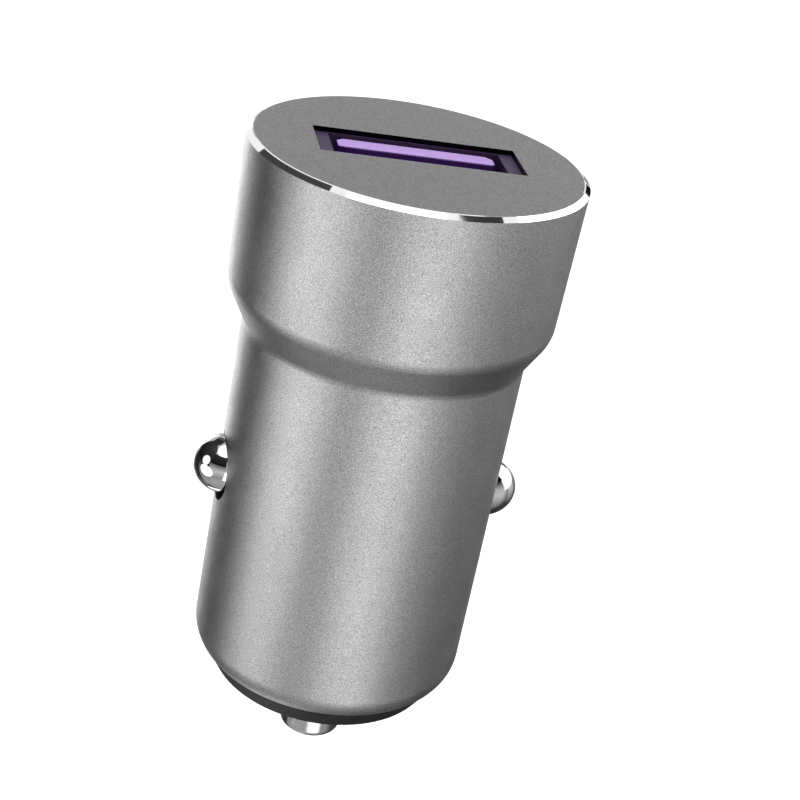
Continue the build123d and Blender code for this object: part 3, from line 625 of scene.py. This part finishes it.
def make_shell():
    """The turned shell: outside, bore, port and windows, replacing the plain housing."""
    taper = tan(HEAD_TAPER)
    slope = tan(SHOULDER_ANGLE)
    rim_level = HEAD_HEIGHT - RIM_BEVEL_HEIGHT
    rim_start = RIM_RADIUS - RIM_BEVEL_WIDTH
    shoulder_level = (RIM_RADIUS - taper * rim_level - BARREL_RADIUS) / (slope - taper)
    shoulder_radius = BARREL_RADIUS + slope * shoulder_level
    end_angle = asin(BARREL_END_HEIGHT / BARREL_END_RADIUS)
    outline = [
        (rim_start, HEAD_HEIGHT),
        (rim_start + RIM_EDGE_WIDTH, HEAD_HEIGHT - RIM_EDGE_HEIGHT),
        (RIM_RADIUS, rim_level),
        (shoulder_radius, shoulder_level),
        (BARREL_RADIUS, 0),
    ]
    end_middle = (BARREL_RADIUS - BARREL_END_RADIUS, -BARREL_LENGTH)
    outline += arc(end_middle, BARREL_END_RADIUS, -BARREL_END_RADIUS, 0, end_angle, FILLET_STEPS)
    outline += [
        (BORE_RADIUS, -BARREL_LENGTH - BARREL_END_HEIGHT),
        (BORE_RADIUS, BORE_TOP),
    ]
    shell = turned("shell", outline, SHELL_SIDES)
    shoulder_run = SHOULDER_FILLET * tan((SHOULDER_ANGLE - HEAD_TAPER) / 2)
    barrel_run = BARREL_TOP_FILLET * tan(SHOULDER_ANGLE / 2)
    round_ring(shell, shoulder_radius, shoulder_level, shoulder_run)
    round_ring(shell, BARREL_RADIUS, 0, barrel_run)
    round_ring(shell, BORE_RADIUS, BORE_TOP, BORE_FILLET)

    port = block(
        "port_cutter",
        (-PORT_WIDTH / 2, PORT_MIDDLE - PORT_HEIGHT / 2, BORE_TOP - MM),
        (PORT_WIDTH / 2, PORT_MIDDLE + PORT_HEIGHT / 2, HEAD_HEIGHT + MM),
    )
    combine(shell, port, "DIFFERENCE")
    window = block(
        "window_cutter",
        (-RIM_RADIUS, -WINDOW_WIDTH / 2, WINDOW_BOTTOM),
        (RIM_RADIUS, WINDOW_WIDTH / 2, WINDOW_TOP),
    )
    edit()
    pick("EDGE", lambda first, second: abs(first.x - second.x) > RIM_RADIUS)
    bpy.ops.mesh.bevel(offset=WINDOW_CORNER, segments=WINDOW_CORNER_STEPS, affect="EDGES")
    leave_edit()
    combine(shell, window, "DIFFERENCE")

    def rim_cut(middle, normal):
        low, high = RIM_CUT_TILT
        outside = hypot(middle.x, middle.y) > rim_start
        return outside and middle.z > rim_level and low < normal.z < high

    def bore_side(middle, normal):
        inward = normal.x * middle.x + normal.y * middle.y < 0
        inside = hypot(middle.x, middle.y) < BORE_RADIUS + CLOSE
        return middle.z < BORE_TOP + CLOSE and inside and (inward or normal.z < -LYING)

    # The port's cut walls, which get the near-black painted shade
    def port_wall_painted_shade(middle, normal):
        inside = hypot(middle.x, middle.y) < BORE_RADIUS - CLOSE
        return abs(normal.z) < LYING and inside and middle.z > BORE_TOP

    def window_side(middle, normal):
        at_level = WINDOW_BOTTOM - CLOSE < middle.z < WINDOW_TOP + CLOSE
        in_width = abs(middle.y) < WINDOW_WIDTH / 2 + CLOSE
        in_wall = abs(middle.x) > BORE_RADIUS * WINDOW_REACH
        return abs(normal.x) < ACROSS_WALL and at_level and in_width and in_wall

    shell.data.materials.append(blasted_aluminium())
    paint(shell, turned_metal("mirror_cut", along_axis=False), rim_cut)
    paint(shell, turned_metal("bored_aluminium"), bore_side)
    paint(shell, plain_metal("port_wall_painted_shade"), port_wall_painted_shade)
    paint(shell, plain_metal("window_wall"), window_side)
    settle(shell, SHELL_SMOOTH)
    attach(shell, "charger")
    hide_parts("housing")


def make_pin():
    """The turned centre pin with its flange and guide."""
    end_middle = (PIN_RADIUS - PIN_END_FILLET, PIN_END + PIN_END_FILLET)
    outline = arc(end_middle, PIN_END_FILLET, PIN_END_FILLET, -QUARTER_TURN, 0, FILLET_STEPS)
    outline += [
        (PIN_RADIUS, PIN_FLANGE_BOTTOM),
        (PIN_FLANGE_RADIUS, PIN_FLANGE_BOTTOM),
        (PIN_FLANGE_RADIUS, PIN_FLANGE_TOP),
        (PIN_GUIDE_RADIUS, PIN_FLANGE_TOP),
        (PIN_GUIDE_RADIUS, PIN_GUIDE_TOP - PIN_GUIDE_CHAMFER),
        (PIN_GUIDE_RADIUS - PIN_GUIDE_CHAMFER, PIN_GUIDE_TOP),
    ]
    pin = turned("pin", outline, PIN_SIDES)
    pin.data.materials.append(turned_metal("pin_nickel"))
    settle(pin, PIN_SMOOTH)
    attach(pin, "pin")
    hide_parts("centre_pin")


def make_spring():
    """The pin's coil spring: a round wire screwed up the axis."""
    pitch = (SPRING_END - SPRING_START) / SPRING_TURNS
    rise = atan2(pitch, tau * SPRING_RADIUS)
    bpy.ops.object.select_all(action="DESELECT")
    bpy.ops.mesh.primitive_circle_add(
        vertices=SPRING_SIDES,
        radius=SPRING_WIRE_RADIUS,
        location=(SPRING_RADIUS, 0, SPRING_START),
        rotation=(QUARTER_TURN + rise, 0, 0),
    )
    spring = name_new("spring")
    bpy.ops.object.transform_apply(location=True, rotation=True, scale=False)
    coil = spring.modifiers.new("coil", "SCREW")
    coil.axis = "Z"
    coil.angle = tau
    coil.screw_offset = pitch
    coil.iterations = SPRING_TURNS
    coil.steps = SPRING_STEPS
    coil.render_steps = SPRING_STEPS
    bpy.ops.object.modifier_apply(modifier=coil.name)
    edit()
    bpy.ops.mesh.select_all(action="SELECT")
    bpy.ops.mesh.fill_holes(sides=0)
    face_outward()
    leave_edit()
    spring.data.materials.append(plain_metal("spring_steel"))
    settle(spring, SPRING_SMOOTH)
    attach(spring, "charger")
    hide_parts("pin_spring")
    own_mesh(spring)


def make_nose(name, radius, reach, base):
    """A round-ended nose that lies along +X, from a base plane to its reach."""
    end_height = reach - NOSE_SHOULDER
    dome = arc((0, NOSE_SHOULDER), radius, end_height, 0, QUARTER_TURN, NOSE_STEPS)
    nose = turned(name, [(radius, base), *dome[:-1]], NOSE_SIDES)
    nose.rotation_euler = (0, QUARTER_TURN, 0)
    nose.location = (0, 0, NOSE_LEVEL)
    choose(nose)
    bpy.ops.object.transform_apply(location=True, rotation=True, scale=False)
    return nose


def make_leaf():
    """The contact's bent strip: a line extruded out, bent and extruded down, then made thick."""
    bpy.ops.object.select_all(action="DESELECT")
    bpy.ops.mesh.primitive_plane_add(size=LEAF_WIDTH, location=(LEAF_START, 0, LEAF_TOP))
    leaf = name_new("contact_right")
    bpy.ops.object.transform_apply(location=True, rotation=False, scale=False)
    edit()
    pick("VERT", lambda place, normal: place.x < LEAF_START)
    bpy.ops.mesh.delete(type="VERT")
    bpy.ops.mesh.select_all(action="SELECT")
    bpy.ops.transform.translate(value=(-LEAF_WIDTH / 2, 0, 0))
    bend_start = LEAF_MIDDLE - LEAF_BEND
    outward = (bend_start - LEAF_START, 0, 0)
    downward = (0, 0, LEAF_BOTTOM - LEAF_TOP + LEAF_BEND)
    bpy.ops.mesh.extrude_edges_move(TRANSFORM_OT_translate={"value": outward})
    bpy.ops.mesh.spin(
        steps=LEAF_BEND_STEPS,
        angle=-QUARTER_TURN,
        center=(bend_start, 0, LEAF_TOP - LEAF_BEND),
        axis=(0, 1, 0),
    )
    bpy.ops.mesh.extrude_edges_move(TRANSFORM_OT_translate={"value": downward})
    weld()
    leave_edit()
    thick = leaf.modifiers.new("thickness", "SOLIDIFY")
    thick.thickness = LEAF_THICKNESS
    thick.offset = 0
    thick.use_even_offset = True
    bpy.ops.object.modifier_apply(modifier=thick.name)
    return leaf


def make_contacts():
    """The two side contacts: the right one is made, and the left one is its mirrored copy."""
    contact = make_leaf()
    combine(contact, make_nose("nose", NOSE_RADIUS, NOSE_TIP, LEAF_MIDDLE), "UNION")
    hollow = make_nose(
        "nose_hollow",
        NOSE_RADIUS - LEAF_THICKNESS,
        NOSE_TIP - LEAF_THICKNESS,
        LEAF_MIDDLE - LEAF_THICKNESS,
    )
    combine(contact, hollow, "DIFFERENCE")
    contact.data.materials.append(plain_metal("contact_nickel"))
    settle(contact, CONTACT_SMOOTH)
    bpy.ops.object.duplicate(linked=False)
    other = name_new("contact_left")
    bpy.ops.transform.mirror(constraint_axis=(True, False, False), center_override=(0, 0, 0))
    bpy.ops.object.transform_apply(location=True, rotation=True, scale=True)
    edit()
    face_outward()
    leave_edit()
    for piece, side in ((contact, "right"), (other, "left")):
        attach(piece, f"contact_{side}")
        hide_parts(f"side_contact_{side}")


def toward(azimuth, height):
    """The direction at an azimuth from -Y towards +X and a height over the horizon, in degrees."""
    turn, tilt = radians(azimuth), radians(height)
    return Vector((sin(turn) * cos(tilt), -cos(turn) * cos(tilt), sin(tilt)))


def lamp(name, azimuth, height, width, tall, radiance, shape):
    """A softbox that faces the object. Its power follows its size, so radiance sets its level."""
    data = bpy.data.lights.new(name, "AREA")
    data.shape = shape
    data.size = 2 * LAMP_DISTANCE * sin(radians(width / 2))
    data.size_y = 2 * LAMP_DISTANCE * sin(radians(tall / 2))
    area = data.size * data.size_y
    if shape in ("DISK", "ELLIPSE"):
        area *= tau / 8
    data.energy = radiance * area * tau / 2
    light = bpy.data.objects.new(name, data)
    direction = toward(azimuth, height)
    light.location = direction * LAMP_DISTANCE
    light.rotation_euler = direction.to_track_quat("Z", "Y").to_euler()
    bpy.context.scene.collection.objects.link(light)


def glowing(name, levels, heights, distance):
    """A card's surface, which fades from one brightness at its foot to another at its top."""
    material, tree, glow = new_material(name, "Emission")
    high = place_parts(tree, object_place(tree))[2]
    foot, top = (distance * sin(radians(height)) for height in heights)
    link(tree, spread(tree, high, foot, top, *levels), glow.inputs["Strength"])
    return material


def card(name, azimuths, heights, levels, distance):
    """A curved card that only reflections see: part of a standing ring, spun round the object."""
    bpy.ops.object.select_all(action="DESELECT")
    bpy.ops.mesh.primitive_circle_add(vertices=CARD_SIDES, radius=distance)
    piece = name_new(name)
    edit()

    def outside(place, normal):
        height = degrees(atan2(place.y, place.x))
        return not heights[0] - CARD_MARGIN < height < heights[1] + CARD_MARGIN

    pick("VERT", outside)
    bpy.ops.mesh.delete(type="VERT")
    leave_edit()
    first, last = (radians(azimuth) for azimuth in azimuths)
    piece.rotation_euler = (QUARTER_TURN, 0, first - QUARTER_TURN)
    bpy.ops.object.transform_apply(location=False, rotation=True, scale=False)
    edit()
    bpy.ops.mesh.select_all(action="SELECT")
    bpy.ops.mesh.spin(steps=CARD_STEPS, angle=first - last, center=(0, 0, 0), axis=(0, 0, 1))
    leave_edit()
    piece.data.materials.append(glowing(name, levels, heights, distance))
    piece.visible_camera = False
    piece.visible_diffuse = False
    piece.visible_transmission = False
    piece.visible_shadow = False


def set_camera():
    """The camera at the photograph's viewing angle."""
    data = bpy.data.cameras.new("camera")
    data.lens = CAMERA_LENS
    data.sensor_width = CAMERA_SENSOR
    data.clip_start = MM
    data.clip_end = CAMERA_REACH
    camera = bpy.data.objects.new("camera", data)
    bpy.context.scene.collection.objects.link(camera)
    upward = CAMERA_RIGHT.cross(CAMERA_AIM).normalized()
    across = CAMERA_AIM.cross(upward)
    turn = Matrix((across, upward, -CAMERA_AIM)).transposed()
    camera.matrix_world = Matrix.Translation(CAMERA_PLACE) @ turn.to_4x4()
    bpy.context.scene.camera = camera


def seen_rays(tree):
    """1 for camera, glossy and transmission rays."""
    path = tree.nodes.new("ShaderNodeLightPath")
    total = path.outputs["Is Camera Ray"]
    for name in ("Is Glossy Ray", "Is Transmission Ray"):
        add = tree.nodes.new("ShaderNodeMath")
        add.operation = "ADD"
        add.use_clamp = True
        link(tree, total, add.inputs[0])
        link(tree, path.outputs[name], add.inputs[1])
        total = add.outputs[0]
    return total


def set_world():
    """Plain light for matt surfaces, and white where camera and reflections look past it all."""
    world = bpy.data.worlds.new("studio")
    bpy.context.scene.world = world
    world.use_nodes = True
    tree = world.node_tree
    tree.nodes.clear()
    output = tree.nodes.new("ShaderNodeOutputWorld")
    mix = tree.nodes.new("ShaderNodeMixShader")
    link(tree, seen_rays(tree), mix.inputs["Fac"])
    for place, level in ((1, AMBIENT_LEVEL), (2, BACKDROP_LEVEL)):
        light = tree.nodes.new("ShaderNodeBackground")
        light.inputs["Color"].default_value = WHITE
        light.inputs["Strength"].default_value = level
        link(tree, light.outputs[0], mix.inputs[place])
    link(tree, mix.outputs[0], output.inputs["Surface"])


def lay_floor():
    """A pale floor far under the plug, which shows as white."""
    bpy.ops.object.select_all(action="DESELECT")
    bpy.ops.mesh.primitive_plane_add(size=FLOOR_SIZE, location=(0, 0, FLOOR_LEVEL))
    floor = name_new("floor")
    material, tree, shader = new_material("floor_paper")
    shader.inputs["Base Color"].default_value = FLOOR_COLOUR
    shader.inputs["Roughness"].default_value = FLOOR_ROUGHNESS
    shader.inputs["Emission Color"].default_value = WHITE
    glow = spread(tree, seen_rays(tree), 0, 1, 0, FLOOR_GLOW)
    link(tree, glow, shader.inputs["Emission Strength"])
    floor.data.materials.append(material)


# New pieces
make_shell()
make_pin()
make_spring()
make_contacts()

# Finishes of the pieces that keep their shape
usb_terminals = [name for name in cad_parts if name.startswith("usb_terminal")]
# The port frame's darker band deep in the port is painted shade, its violet tint painted light off
# the tongue
dress(["port_frame"], plastic_with_painted_shade("frame_plastic"))
# The tongue's dark violet sides and front strip are painted shade
dress(["usb_insulator"], plastic_with_painted_shade("violet_plastic_painted_shade", TONGUE_SHADE_LINE))
dress(["tip_cap"], moulded_plastic("cap_plastic"))
dress(["usb_shell"], plain_metal("sheet_steel"))
dress(["spring_seat"], plain_metal("seat_brass"))
dress(usb_terminals, plain_metal("gilt_terminal"))
dress(["input_capacitor", "output_capacitor"], plain_metal("can_aluminium"))
dress(["circuit_board"], moulded_plastic("board_laminate"))
dress(["buck_inductor"], moulded_plastic("ferrite"))
dress(["converter_chip", "protocol_chip", "flyback_diode"], moulded_plastic("chip_epoxy"))
dress(["fuse", "ceramic_capacitors", "chip_resistors"], moulded_plastic("ceramic"))

# Studio and camera
set_camera()
set_world()
lay_floor()
for values in LAMPS:
    lamp(*values)
for values in CARDS:
    card(*values)

scene = bpy.context.scene
scene.view_settings.view_transform = "Standard"
